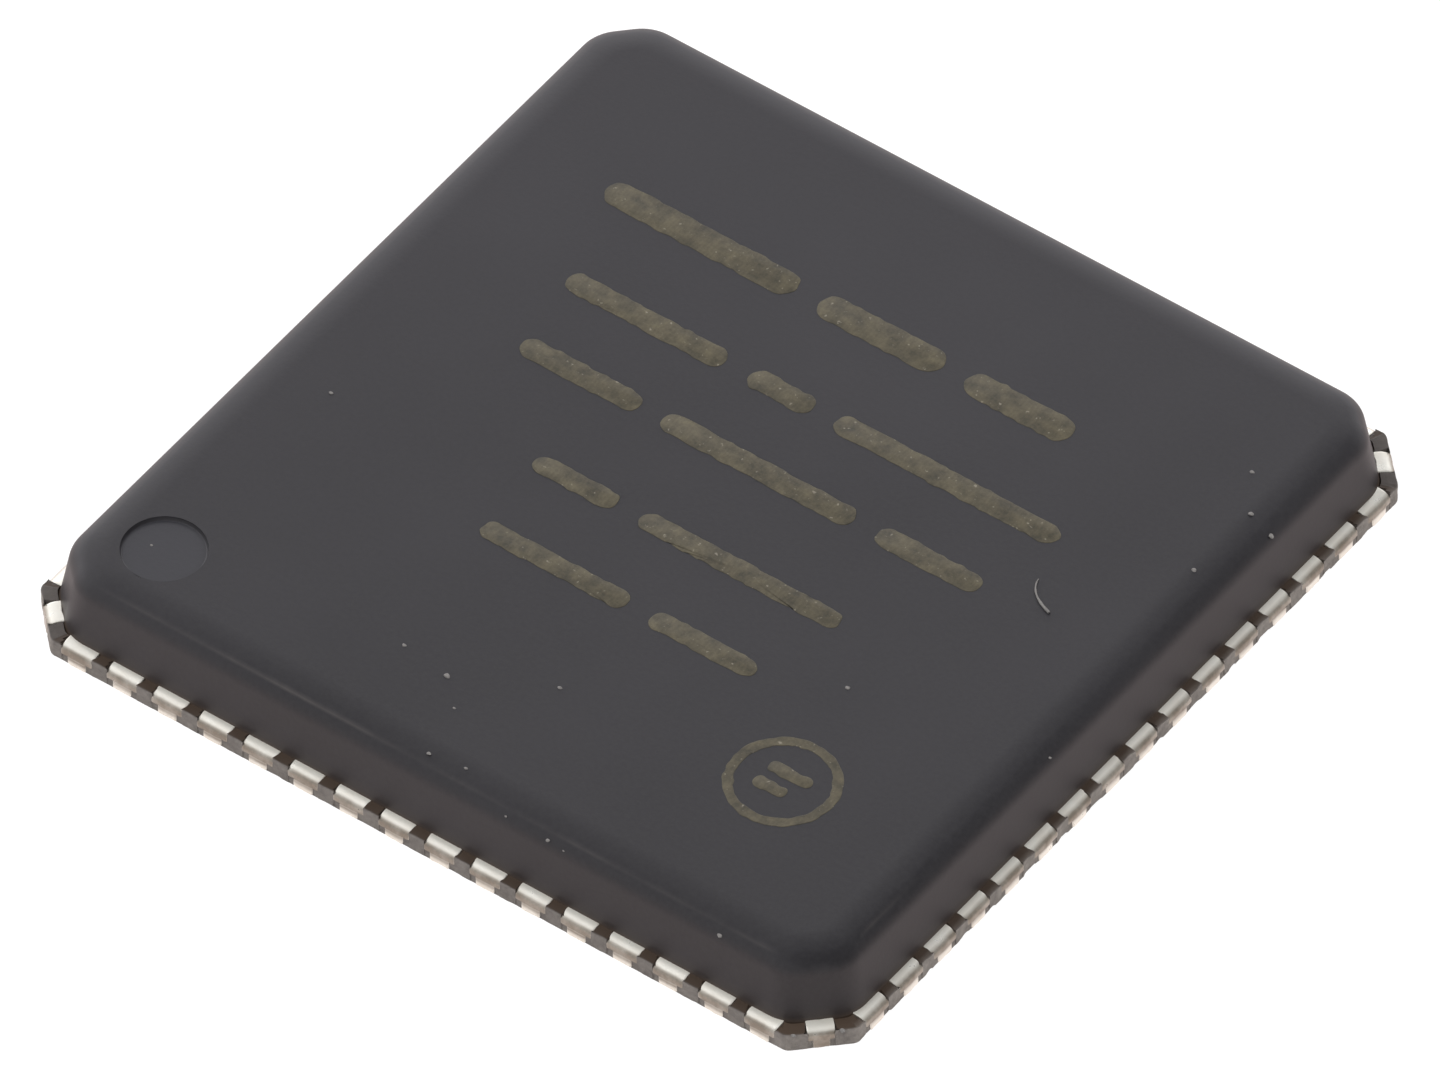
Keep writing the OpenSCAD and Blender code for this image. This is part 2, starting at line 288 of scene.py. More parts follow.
def sheet(name, centre, across, upward):
    """A flat four-sided sheet: its centre plus and minus two half-side vectors, facing across x upward."""
    sides = np.array([[-1, -1], [1, -1], [1, 1], [-1, 1]])
    corners = np.array(centre) + sides @ np.array([across, upward])
    mesh = bpy.data.meshes.new(name)
    mesh.from_pydata((corners * MM).tolist(), [], [[0, 1, 2, 3]])
    made = link(name, mesh)
    return made

floor = sheet("floor", (0, 0, 0), (FLOOR_HALF, 0, 0), (0, FLOOR_HALF, 0))
floor.data.materials.append(white_paper())
print("floor", 2 * FLOOR_HALF, "mm square")

# %% [markdown]
# A white tent surrounds the chip. It could be a dome of cloth with lamps outside. Here it is the world
# itself, with a formula for its brightness in each direction, because that gives even, noiseless light. It
# is brightest low down behind the chip, as the pale back edges show, and has an opening on the side of the
# camera, which is why the rounded edge on the right looks dark. Three soft boxes add the broad light.

# %% Light tent and soft boxes
TENT_LIGHT = 0.32
# the opening's middle and level, and the cosines at which it begins and is full
OPENING, OPENING_LEVEL = (0.6, 0.3, 0.74), 0.42
OPENING_BEGINS, OPENING_FULL = np.cos(np.radians([66, 46]))
# the bright band's middle and level, the heights between which it fades, and how far round it reaches
BACK, BACK_LEVEL = (-0.6, 0.8, 0.0), 2.2
BAND_TOP, BAND_FULL_BELOW = 0.7, 0.45
BAND_BEGINS, BAND_FULL = 0.2, 0.5
# where each soft box stands, its side and the level of its face
SOFT_BOXES = {
    "soft_box_front": ((-140, -120, 280), 200, 5.8),
    "soft_box_left": ((-300, -90, 150), 220, 1.2),
    "soft_box_right": ((210, 130, 230), 220, 5.0),
}

def light_tent():
    """A white tent: plain white to the camera; as a lamp and in gloss, bright behind, open at the camera."""
    world = bpy.data.worlds.new("light_tent")
    bpy.context.scene.world = world
    world.use_nodes = True
    tree = world.node_tree
    tree.nodes.clear()
    way = add(tree, "TexCoord").outputs["Generated"]
    direct, mirrored = ray_kinds(tree)
    near = add(tree, "VectorMath", {0: way, 1: OPENING}, operation="DOT_PRODUCT")
    hole_edge = {0: near, 1: OPENING_BEGINS, 2: OPENING_FULL, 3: 1.0, 4: OPENING_LEVEL}
    hole = add(tree, "MapRange", hole_edge, interpolation_type="SMOOTHSTEP")
    height = add(tree, "SeparateXYZ", {0: way}).outputs["Z"]
    low = add(tree, "MapRange", {0: height, 1: BAND_TOP, 2: BAND_FULL_BELOW}, interpolation_type="SMOOTHSTEP")
    far = add(tree, "VectorMath", {0: way, 1: BACK}, operation="DOT_PRODUCT")
    behind = add(tree, "MapRange", {0: far, 1: BAND_BEGINS, 2: BAND_FULL}, interpolation_type="SMOOTHSTEP")
    band = add(tree, "Math", {0: low, 1: behind}, operation="MULTIPLY")
    gain = add(tree, "MapRange", {0: band, 3: 1.0, 4: BACK_LEVEL})
    shape = add(tree, "Math", {0: hole, 1: gain}, operation="MULTIPLY")
    level = add(tree, "MapRange", {0: mirrored, 3: TENT_LIGHT, 4: 1.0})
    lit = add(tree, "Math", {0: level, 1: shape}, operation="MULTIPLY")
    strength = add(tree, "Mix", {0: direct, 2: lit, 3: 1.0})
    glow = add(tree, "Background", {"Color": "#FDFBFF", "Strength": strength})
    add(tree, "OutputWorld", {"Surface": glow})
    world.cycles.sampling_method = "NONE"

def soft_box(name, stand, side, level):
    """A square lamp of this side at stand (mm), turned to the part, with this radiance on its face."""
    lamp = bpy.data.lights.new(name, "AREA")
    lamp.shape = "SQUARE"
    lamp.size = side * MM
    lamp.energy = level * np.pi * (side * MM) ** 2
    away = np.array(stand) / np.linalg.norm(stand)
    across = np.cross((0, 0, 1), away)
    across = across / np.linalg.norm(across)
    made = link(name, lamp)
    made.matrix_world = posed(np.stack([across, np.cross(away, across), away], 1), stand)
    made.visible_camera = False
    made.visible_glossy = False

light_tent()
for name, (stand, side, level) in SOFT_BOXES.items():
    soft_box(name, stand, side, level)
print("tent at", TENT_LIGHT, "with", len(SOFT_BOXES), "soft boxes")

# %% [markdown]
# The body is epoxy filled with fine silica, pressed into a mould and then punched out of its strip. The
# mould leaves a matte dark skin with a well rounded upper edge, and the punch shears the thin rim between
# the leads, which shows as a paler, rougher face, like stone. One material serves it all, led by masks
# that the surface carries: where it was sheared, where the flat ledge is, where a highlight is painted
# along the edge, and where an ejector pin of the mould left the smooth floor of the dimple.

# %% Moulded epoxy
# painted light: the skin is painted a little paler towards the far corner, the side from which the brightest
# light falls
LIT_CORNER, LIT_FADE_LENGTH = (-0.6, 0.8, 0.0), 12

def moulded_epoxy():
    """Silica-filled epoxy, moulded matte: dark grey with a fine filler grain, a slow drift in tone, and
    painted light that makes it paler towards the far corner.

    Sheared faces are pale and stony, the ledge is brown with bled resin, a highlight is painted in patches as
    a grey line along the front edge, and the floor of the dimple is smoother than the rest.
    """
    material, tree, place = new_material("moulded_epoxy")
    names = ("broken", "ledge", "edge", "pin")
    broken, ledge, edge, pin = (add(tree, "Attribute", attribute_name=name).outputs["Fac"] for name in names)
    # filler grains are about 0.02 mm; they are drawn at 0.05 mm so that they show
    filler = add(tree, "TexNoise", {"Vector": place, "Scale": per_mm(0.05), "Detail": 4.0, "Roughness": 0.65})
    cloud = add(tree, "TexNoise", {"Vector": place, "Scale": per_mm(2.2), "Detail": 3.0})
    chips = add(tree, "TexNoise", {"Vector": place, "Scale": per_mm(0.12), "Detail": 5.0, "Roughness": 0.7})
    highlight_patches = add(tree, "TexNoise", {"Vector": place, "Scale": per_mm(0.7), "Detail": 3.0, "Roughness": 0.6})
    # painted light: the tone rises towards the far corner, from which the brightest light falls
    toward_lit_corner = add(tree, "VectorMath", {0: place, 1: LIT_CORNER}, operation="DOT_PRODUCT")
    drift = add(tree, "Math", {0: toward_lit_corner, 1: per_mm(LIT_FADE_LENGTH), 2: cloud}, operation="MULTIPLY_ADD")
    patch = add(tree, "MapRange", {0: drift, 1: 0.1, 2: 0.9})
    mould_skin = add(tree, "Mix", {0: patch, 6: "#121114", 7: "#222124"}, data_type="RGBA")
    speck = add(tree, "MapRange", {0: filler, 1: 0.35, 2: 0.8, 3: 0.0, 4: 0.3})
    grained = add(tree, "Mix", {0: speck, 6: mould_skin, 7: "#343335"}, data_type="RGBA")
    pinned = add(tree, "Mix", {0: pin, 6: grained, 7: "#2B2B2F"}, data_type="RGBA")
    # painted highlight: a pale grey line along one tilt of the front edge, broken into patches by noise
    highlight_patch = add(tree, "MapRange", {0: highlight_patches, 1: 0.35, 2: 0.65, 3: 0.25, 4: 1.0})
    edge_highlight = add(tree, "Math", {0: highlight_patch, 1: edge}, operation="MULTIPLY")
    worn = add(tree, "Mix", {0: edge_highlight, 6: pinned, 7: "#4C4846"}, data_type="RGBA")
    bled = add(tree, "Mix", {0: ledge, 6: worn, 7: "#43382F"}, data_type="RGBA")
    stone = add(tree, "Mix", {0: chips, 6: "#4B4643", 7: "#A49D96"}, data_type="RGBA")
    tone = add(tree, "Mix", {0: broken, 6: bled, 7: stone}, data_type="RGBA")
    matte = add(tree, "MapRange", {0: filler, 3: 0.42, 4: 0.54})
    smooth = add(tree, "MapRange", {0: pin, 3: matte, 4: 0.3})
    rough = add(tree, "MapRange", {0: broken, 3: smooth, 4: 0.85})
    pits = add(tree, "Bump", {"Height": filler, "Distance": 0.004 * MM, "Strength": 0.3})
    depth = add(tree, "Math", {0: chips, 1: broken}, operation="MULTIPLY")
    crag = add(tree, "Bump", {"Height": depth, "Distance": 0.02 * MM, "Strength": 0.8, "Normal": pits})
    finish = {"Base Color": tone, "Roughness": rough, "Normal": crag, "IOR": 1.5}
    shader = add(tree, "BsdfPrincipled", finish)
    add(tree, "OutputMaterial", {"Surface": shader})
    return material

epoxy = moulded_epoxy()
print("made", epoxy.name)

# %% [markdown]
# The surface is one stack of rings from the underside up: the sheared rim, the ledge on which the leads
# show, the drafted wall, the rounded upper edge and the flat top, which runs on into the round orientation
# dimple. A bevelled box could give the cap, but not the notches and the torn webs between the leads. All
# rings share the same columns, which stand closest where a lead breaks the rim, and rows that lie close
# beside an edge keep the large flat faces evenly shaded.

# %% Columns of the body
RIM_CHAMFER, RIM_CORNER_R = 0.46, 0.12
ROW_HALF = LEAD_PITCH * (LEADS_A_SIDE - 1) / 2
TIE_W = 0.25
# how far a lead and a tie bar lap over the flanks of their notches, and how wide such a flank is
LEAD_LAP, TIE_LAP, NOTCH_EDGE = 0.011, 0.008, 0.006
LEAD_FLANK, TIE_FLANK = LEAD_W / 2 - LEAD_LAP, TIE_W / 2 - TIE_LAP
EIGHT = np.arange(8) * 45.0
CORNER_STEPS = 8

def side_cuts():
    """Shares along a side at which columns stand: a pair at each flank of each lead, even steps between."""
    flank = np.array([0.08, LEAD_FLANK, LEAD_FLANK + NOTCH_EDGE])
    lead = np.concatenate([-flank[::-1], [0], flank])
    web = lead[-1] + (LEAD_PITCH - 2 * lead[-1]) * even(8)
    middles = LEAD_PITCH * np.arange(LEADS_A_SIDE) - ROW_HALF
    along = (middles[:, None] + np.concatenate([lead, web])).ravel().round(6)
    along = np.union1d(along, -along)
    straight = RIM_HALF - RIM_CHAMFER - RIM_CORNER_R * np.tan(np.pi / 8)
    return (along[np.abs(along) < straight - 0.01] / straight + 1) / 2

def facet_cuts():
    """Shares along a corner facet: a pair of columns at each flank of the tie bar, a few on each part."""
    half = np.array([0.06, TIE_FLANK, TIE_FLANK + NOTCH_EDGE, 0.16, 0.19, 0.22, 0.25])
    straight = RIM_CHAMFER / np.sqrt(2) - RIM_CORNER_R * np.tan(np.pi / 8)
    return (np.concatenate([-half[::-1], [0], half]) / straight + 1) / 2

SIDE_CUTS, FACET_CUTS = side_cuts(), facet_cuts()
print("columns a side:", len(SIDE_CUTS), "and a facet:", len(FACET_CUTS))

def eight_sided(half, chamfer, inset, radius):
    """Rounded outlines of a square with chamfered corners, each row moved in by its inset.

    A row's corner radius is the smaller of radius and what its chamfer, shortened by the inset, has room for.
    """
    facet = (2 * half - chamfer) / np.sqrt(2)
    reach = np.where(np.arange(8) % 2 == 0, half, facet) - inset[:, None]
    room = (np.sqrt(2) * (half - inset) - facet + inset) / np.tan(np.pi / 8) - 0.02
    fitted = np.broadcast_to(np.minimum(radius, room)[:, None], reach.shape)
    return rounded_outline(EIGHT, reach, fitted, [SIDE_CUTS, FACET_CUTS] * 4, CORNER_STEPS)

# %% [markdown]
# The punch breaks the rim between the leads, so it is ragged there, chipped along its lower edge and worn
# along the ledge's outer edge, most on the right. A bump in the material could roughen its faces but would
# leave the outline straight, so noise moves the points themselves.

# %% Rim
RIM_FOOT, WEB_SETBACK, LEDGE_DROP = 0.002, 0.003, 0.006
NOTCH_PUSH, NOTCH_SINK = 0.008, 0.55
# of each row: share of the rim's height, inset, raggedness, how broken, how broken on the right, ledge
RIM_ROWS = np.array([
    (0, 0.3, 0, 0, 0, 0),
    (0, 0.12, 0, 0, 0, 0),
    (0, 0.003, 0.3, 1, 1, 0),
    (0.02, 0.001, 0.6, 1, 1, 0),
    (0.08, 0, 1, 1, 1, 0),
    (0.25, 0, 1, 1, 1, 0),
    (0.42, 0, 1, 1, 1, 0),
    (0.58, 0, 1, 1, 1, 0),
    (0.72, 0, 1, 1, 1, 0),
    (0.84, 0, 1, 1, 1, 0),
    (0.92, 0.001, 1, 1, 1, 0),
    (0.97, 0.003, 1, 0.85, 0.95, 0.15),
    (0.995, 0.008, 1, 0.4, 0.75, 0.6),
    (1, 0.02, 0.8, 0, 0.3, 1),
    (1, 0.07, 0.2, 0, 0, 1),
    (1, 0.14, 0, 0, 0, 1),
])
# heights and sizes of the two noises on the sheared faces, with their seeds
WEB_ROUGH = ((0.004, 0.11, 3), (0.003, 0.045, 4))
# wear of the ledge's outer rows, and rise of the chips along the lower edge: more on the right side
WEAR, WEAR_RIGHT, WEAR_SINK, WEAR_GRAIN = 0.004, 0.012, 0.7, 0.09
WEAR_ROWS = np.array([0.6, 1, 0.8, 0.3, 0])[:, None]
CHIP_RISE, CHIP_ELSEWHERE, CHIP_REACH, CHIP_GRAIN = 0.03, 0.2, 0.06, 0.09
# painted shade and light: sheared faces on the front are painted a little darker, as they lie in shade, and
# the ledge is painted paler, less brown and partly stone, at two of its corners, which the camera has on its
# left and its right
FRONT_SHADE_SHARE, CORNER_LIGHT_STONE, CORNER_LIGHT_BROWN = 0.85, 0.3, 0.4

def rim_rings():
    """The rim from the flat underside to the ledge, sheared between the leads.

    Each row is the rim's outline at its own inset. Smooth noise in two sizes moves the sheared rows in and
    out, wears the ledge's outer edge and chips the lower edge. The columns behind a lead sink to about half
    their height and go in a little, so that every lead lies in a notch.
    """
    share, inset, ragged, broken, broken_right, ledge = RIM_ROWS.T
    z = RIM_FOOT + (FRAME_T - LEDGE_DROP - RIM_FOOT) * share
    flat, normals = eight_sided(RIM_HALF, RIM_CHAMFER, inset, RIM_CORNER_R)
    points = raised(flat, z)
    along = np.abs(flat).min(-1)
    from_lead = np.abs(along % LEAD_PITCH - LEAD_PITCH / 2)
    on_side = (np.abs(normals).max(-1) > 0.999) & (along < ROW_HALF + LEAD_PITCH / 2)
    from_tie = np.abs(np.abs(flat[..., 0]) - np.abs(flat[..., 1])) / np.sqrt(2)
    notch = (on_side & (from_lead < LEAD_FLANK + NOTCH_EDGE / 2)) | (from_tie < TIE_FLANK + NOTCH_EDGE / 2)
    rough = sum(height * grain(points, size, seed) for height, size, seed in WEB_ROUGH)
    shift = WEB_SETBACK * on_side + NOTCH_PUSH * notch + rough
    points[..., :2] -= (ragged[:, None] * shift)[..., None] * normals
    right = normals[:, 0] > 0.9
    worn = np.where(right, WEAR_RIGHT, WEAR) * (grain(points[-5:], WEAR_GRAIN, 5) - WEAR_SINK * right)
    points[-5:, :, 2] += worn * WEAR_ROWS
    chip = CHIP_RISE * np.where(right, 1, CHIP_ELSEWHERE) * np.clip(2 * grain(points[3], CHIP_GRAIN, 6), 0, 1)
    points[2:, :, 2] += chip * np.clip(1 - z[2:, None] / CHIP_REACH, 0, 1)
    points[..., 2] *= np.where(notch, NOTCH_SINK, 1)
    broken = np.where(right, broken_right[:, None], broken[:, None])
    # painted shade: the front's sheared faces get less of the pale stone
    broken = broken * np.where(normals[:, 1] < -0.9, FRONT_SHADE_SHARE, 1)
    # painted light: the ledge at the two corners on the camera's left and right is turned paler
    corner = normals[:, 0] * normals[:, 1] > 0.2
    broken[-3:] = np.maximum(broken[-3:], CORNER_LIGHT_STONE * corner)
    return points, broken, ledge[:, None] * np.where(corner, CORNER_LIGHT_BROWN, 1)

rim_points, rim_broken, rim_ledge = rim_rings()
print("rim rows", len(rim_points), "columns", rim_points.shape[1])

# %% [markdown]
# The cap keeps the shape of its mould: walls with ten degrees of draft, so that it comes out, and a round
# upper edge. A bevel would have one radius, while here a tight arc runs on into a wide, faint brow, so the
# section is worked out from its tilt. A highlight is painted on the front edge as a grey line in places, all
# along one tilt.

# %% Cap
CAP_CHAMFER, CAP_CORNER_R = 0.44, 0.4
DRAFT = np.radians(10)
EDGE_R, BROW_R, BROW_TILT = 0.21, 1.0, np.radians(12)
# the painted highlight lies where the edge is tilted this much; its shares at places along the front and the
# side
HIGHLIGHT_TILT, HIGHLIGHT_WIDTH = 30, 6.5
HIGHLIGHT_PLACES = [-4.0, -3.6, -2.7, -2.3, -0.7, -0.3, 1.3, 1.7, 2.0, 3.2, 3.6, 3.8]
HIGHLIGHT_SHARES = [0, 0.2, 0.25, 0.65, 0.6, 0.22, 0.12, 0.65, 0.2, 0.18, 0.5, 0]
SIDE_HIGHLIGHT_PLACES, SIDE_HIGHLIGHT_SHARES = [-3.7, -3.5, -2.9], [0, 0.5, 0]

def upper_edge():
    """Tilt from level, inset and height of the rows from the wall's upper end to the flat top.

    The section is two arcs that meet without a kink: a tight one from the wall, and a wide brow above it.
    Along an arc the inset grows by the radius times the fall of the tilt's sine, the height by the rise of
    its cosine.
    """
    steep = np.linspace(90 - np.degrees(DRAFT), 37, 8)
    tight = np.concatenate([steep, HIGHLIGHT_TILT + np.array([3, 0, -3]), [19]])
    tilt = np.concatenate([np.radians(tight), BROW_TILT * np.array([1, 0.75, 0.5, 0.25, 0])])
    radius = np.where(np.arange(1, len(tilt)) <= len(tight), EDGE_R, BROW_R)
    inward = np.concatenate([[0], np.cumsum(-radius * np.diff(np.sin(tilt)))])
    climb = np.concatenate([[0], np.cumsum(radius * np.diff(np.cos(tilt)))])
    z = TOP - climb[-1] + climb
    return tilt, (z[0] - FRAME_T) * np.tan(DRAFT) + inward, z

def cap_rings():
    """The drafted wall and the rounded upper edge: up the wall the inset grows by the tangent of the draft.

    The lowest two rows reach a few thousandths of a millimetre out, so that the wall has a soft foot.
    """
    tilt, edge_inset, z_edge = upper_edge()
    z_foot = FRAME_T + np.array([-0.03, -0.004, 0.015])
    z_wall = np.concatenate([z_foot, np.linspace(0.24, z_edge[0] - 0.02, 5)])
    wall_inset = (z_wall - FRAME_T) * np.tan(DRAFT) - np.array([0.006, 0.003] + [0] * 6)
    inset = np.concatenate([wall_inset, edge_inset, [edge_inset[-1] + 0.012]])
    z = np.concatenate([z_wall, z_edge, [TOP]])
    flat, normals = eight_sided(CAP_HALF, CAP_CHAMFER, inset, CAP_CORNER_R)
    ledge = np.array([1, 0.8, 0.5, 0.2] + [0] * (len(z) - 4))
    # painted highlight: the grey line follows one tilt of the edge, where the front soft box would be
    # mirrored
    line = np.clip(1 - np.abs(np.degrees(tilt) - HIGHLIGHT_TILT) / HIGHLIGHT_WIDTH, 0, 1)
    edge = np.concatenate([np.zeros(len(z_wall)), line, [0]])
    x, y = flat[0].T
    front = (normals[:, 1] < -0.999) * np.interp(x, HIGHLIGHT_PLACES, HIGHLIGHT_SHARES)
    beside_front = (normals[:, 0] > 0.999) * np.interp(y, SIDE_HIGHLIGHT_PLACES, SIDE_HIGHLIGHT_SHARES)
    return raised(flat, z), ledge[:, None], edge[:, None] * np.maximum(front, beside_front)

cap_points, cap_ledge, cap_highlight = cap_rings()
print("cap rows", len(cap_points), "columns", cap_points.shape[1])

# %% [markdown]
# An ejector pin of the mould leaves the shallow dimple that marks the first lead. A Boolean would cut the
# flat top into slivers. Instead the rings of the body go on from the top's edge to circles round the
# dimple, then down its wall and in over its floor.

# %% Dimple, and the body closed
DIMPLE_R, DIMPLE_DEPTH = 0.395, 0.04
DIMPLE = np.array([-3.505, -3.51])
# of each circle, from the top down and then in over the floor: radius more than the dimple's, share of
# its depth, and how far the floor that the pin left is reached
DIMPLE_ROWS = np.array([
    (0.01, 0, 0),
    (0.002, 0, 0),
    (0, 0, 0),
    (-0.012, 0.9, 0),
    (-0.016, 0.98, 0.7),
    (-0.024, 1, 1),
    (-0.034, 1, 1),
    (-0.2, 1, 1),
    (-0.385, 1, 1),
])

def dimple_rings(last_ring):
    """Circles round the dimple's centre, each point on the ray from the centre to the body's own column."""
    wider, sunk, pin = DIMPLE_ROWS.T
    ray = last_ring[:, :2] - DIMPLE
    ray = ray / np.linalg.norm(ray, axis=-1, keepdims=True)
    flat = DIMPLE + (DIMPLE_R + wider)[:, None, None] * ray
    return raised(flat, TOP - DIMPLE_DEPTH * sunk), pin[:, None]

dimple_points, dimple_pin = dimple_rings(cap_points[-1])
rings = np.concatenate([rim_points, cap_points, dimple_points])
columns = np.ones((1, rings.shape[1]))
no_rim, no_cap, no_dimple = 0 * rim_ledge, 0 * cap_highlight, 0 * dimple_pin * columns
# the edge mask carries the painted highlight along the front edge
masks = {
    "broken": np.concatenate([rim_broken, no_cap, no_dimple]),
    "ledge": np.concatenate([rim_ledge, cap_ledge * columns, no_dimple]),
    "edge": np.concatenate([no_rim, cap_highlight, no_dimple]),
    "pin": np.concatenate([no_rim, no_cap, dimple_pin * columns]),
}
dimple_floor = np.array([[*DIMPLE, TOP - DIMPLE_DEPTH]])
body = skin("moulded_body", rings[None], np.array([[0, 0, RIM_FOOT]]), dimple_floor, masks)
keep(body, epoxy, "mould_body")

# %% [markdown]
# The leads are etched out of a copper sheet, plated all over with dull tin, and sheared at their outer
# ends when the package is punched out. The shear leaves dull bare copper across the upper half of the
# end, while the lower half, which was etched back and plated before, stays pale. Two materials could share
# a lead, but plating tears off without a clear border, so one material blends both by a mask.

# %% Tin-plated copper
def tin_plated_copper():
    """Copper under matte electroplated tin: silvery grey with a fine grain, dull brown where it was sheared.

    The tin's fine crystals scatter about half of the light as a white powder does, so the surface is only
    half metallic.
    """
    material, tree, place = new_material("tin_plated_copper")
    sheared = add(tree, "Attribute", attribute_name="sheared").outputs["Fac"]
    # tin grains are a few thousandths of a millimetre; they are drawn at 0.02 mm so that they show
    fine = add(tree, "TexNoise", {"Vector": place, "Scale": per_mm(0.02), "Detail": 3.0})
    stain = add(tree, "TexNoise", {"Vector": place, "Scale": per_mm(0.22), "Detail": 4.0, "Roughness": 0.6})
    cloudy = add(tree, "MapRange", {0: stain, 1: 0.35, 2: 0.7})
    plating = add(tree, "Mix", {0: cloudy, 6: "#F5F4EA", 7: "#EEEADE"}, data_type="RGBA")
    copper = add(tree, "Mix", {0: fine, 6: "#76726A", 7: "#918575"}, data_type="RGBA")
    torn = add(tree, "MapRange", {0: stain, 1: 0.3, 2: 0.6, 3: 0.75, 4: 1.0})
    bare = add(tree, "Math", {0: torn, 1: sheared}, operation="MULTIPLY")
    tone = add(tree, "Mix", {0: bare, 6: plating, 7: copper}, data_type="RGBA")
    dull = add(tree, "MapRange", {0: stain, 1: 0.3, 2: 0.7, 3: 0.26, 4: 0.36})
    grained = add(tree, "Bump", {"Height": fine, "Distance": 0.002 * MM, "Strength": 0.4})
    finish = {"Base Color": tone, "Roughness": dull, "Metallic": 0.5, "Normal": grained}
    shader = add(tree, "BsdfPrincipled", finish)
    add(tree, "OutputMaterial", {"Surface": shader})
    return material

tin = tin_plated_copper()
print("made", tin.name)

# %% [markdown]
# A lead is a stack of bullet-shaped outlines: the short narrow land below, and above it the wider,
# longer half-etched finger. The punch drags its top down towards the sheared end in a long round roll,
# and leaves the end itself a little uneven. A bevelled box, copied 64 times, would be the quick way, but
# here each lead gets its own small differences from a seeded draw.

# %% Shape of a sheared bar
LEAD_CORNER_R, TIP_FLAT = 0.02, 0.004
BAR_TURNS = np.array([-90.0, 0.0, 90.0, 180.0])
BAR_CUTS = [even(6), even(8), even(2), even(8)]
BAR_ARC_STEPS = 5
ROLL_LENGTH = 0.15
ROLL_TURN = np.radians([0, 12, 24, 33, 41, 48, 55, 62, 70, 80, 90])
# heights of the rows under the roll, as shares of the etched thickness, and of the last one above it
LOW_SHARES, LAST_LOW = np.array([0, 0.04, 0.14, 0.4, 0.7, 0.95, 1, 1]), 0.015
LOW_ROWS = len(LOW_SHARES) + 1
FIRST_FINGER_ROW = 7
# how far the first three rows and the last four draw in, to break the edges
EDGE_BREAK = np.concatenate([[0.01, 0.003, 0], np.zeros(13), [0.001, 0.003, 0.006, 0.011]])
# bare copper on the land's two upper rows, as shares of the tear
TORN_ROWS = np.array([0.25, 1])
SHEAR_ROUGH, SHEAR_GRAIN = 0.003, 0.04
# neighbouring bars lie this far apart in the noise, so that no two are alike
BAR_APART = 7.0
print("rows of a sheared bar:", LOW_ROWS + len(ROLL_TURN))

def sheared_bars(widths, lengths, lag, roll, tear, scuff, seed):
    """Rings of sheared bars lying along +y with their outer ends at y = lag, one stack for each lag.

    Every row is a rounded rectangle, first of the land and then of the finger: widths and lengths give
    both. The top is a quarter of an ellipse, as long as the roll's length and as high as roll: at each
    turn of it a row draws back by the length times one less the cosine, and lies below the top by the
    height times one less the sine. The outer end is bare copper from the roll down to the land, where
    tear says how much of the plating went with it; scuff says the same for the first rows of the roll.
    """
    count = len(lag)
    low = np.concatenate([ETCHED_T * LOW_SHARES, [ETCHED_T + LAST_LOW]])
    rolled = FRAME_T - roll[:, None] * (1 - np.sin(ROLL_TURN))
    z = np.concatenate([np.broadcast_to(low, (count, LOW_ROWS)), rolled], 1)
    lean = np.concatenate([np.zeros(LOW_ROWS), ROLL_LENGTH * (1 - np.cos(ROLL_TURN))])
    upper = np.arange(z.shape[1]) >= FIRST_FINGER_ROW
    half = np.where(upper, widths[1][:, None], widths[0][:, None]) / 2
    length = np.broadcast_to(np.where(upper, lengths[1], lengths[0]), half.shape)
    reach = np.stack([-(lean + lag[:, None]), half, length, half], -1) - EDGE_BREAK[:, None]
    tip_r = half - TIP_FLAT
    corner_r = np.full_like(half, LEAD_CORNER_R)
    radius = np.stack([corner_r, tip_r, tip_r, corner_r], -1) - EDGE_BREAK[:, None]
    flat, normals = rounded_outline(BAR_TURNS, reach, radius, BAR_CUTS, BAR_ARC_STEPS)
    points = raised(flat, z)
    outer = np.clip(-normals[:, 1], 0, 1) ** 0.5 * np.ones((z.shape[1], 1))
    apart = points + BAR_APART * np.arange(count)[:, None, None, None]
    points[..., 1] += outer * SHEAR_ROUGH * grain(apart, SHEAR_GRAIN, seed)
    bare = np.concatenate([np.zeros(5), [0.8], np.ones(4), scuff, np.zeros(5)]) * np.ones((count, 1))
    bare[:, 3:5] = tear[:, None] * TORN_ROWS
    middle = np.stack([0 * lag, lag + lengths[0] / 2], -1)
    foot = np.concatenate([middle, np.zeros((count, 1))], -1)
    head = np.concatenate([middle, np.full((count, 1), FRAME_T)], -1)
    return points, foot, head, outer * bare[..., None]

def turned(points, degrees):
    """Points turned about the vertical axis."""
    c, s = np.cos(np.radians(degrees)), np.sin(np.radians(degrees))
    return points @ np.array([[c, s, 0], [-s, c, 0], [0, 0, 1]])

# %% The four rows of leads
# of each side: least and most of the plating torn off a land, and bare copper on the roll's first rows
FAR_SIDE = ((0.05, 0.75), [0.6, 0.45, 0.4, 0.35, 0.25])
SHEARED = {
    "front": ((0.75, 1.0), [1, 1, 0.8, 0.3, 0.04]),
    "right": ((0.05, 0.5), [1, 1, 0.95, 0.6, 0.3]),
    "back": FAR_SIDE,
    "left": FAR_SIDE,
}
WIDTH_SPREAD, LAG_SPREAD, ROLL_SPREAD = 0.03, 0.003, (0.052, 0.07)
FIRST_SEED = 11

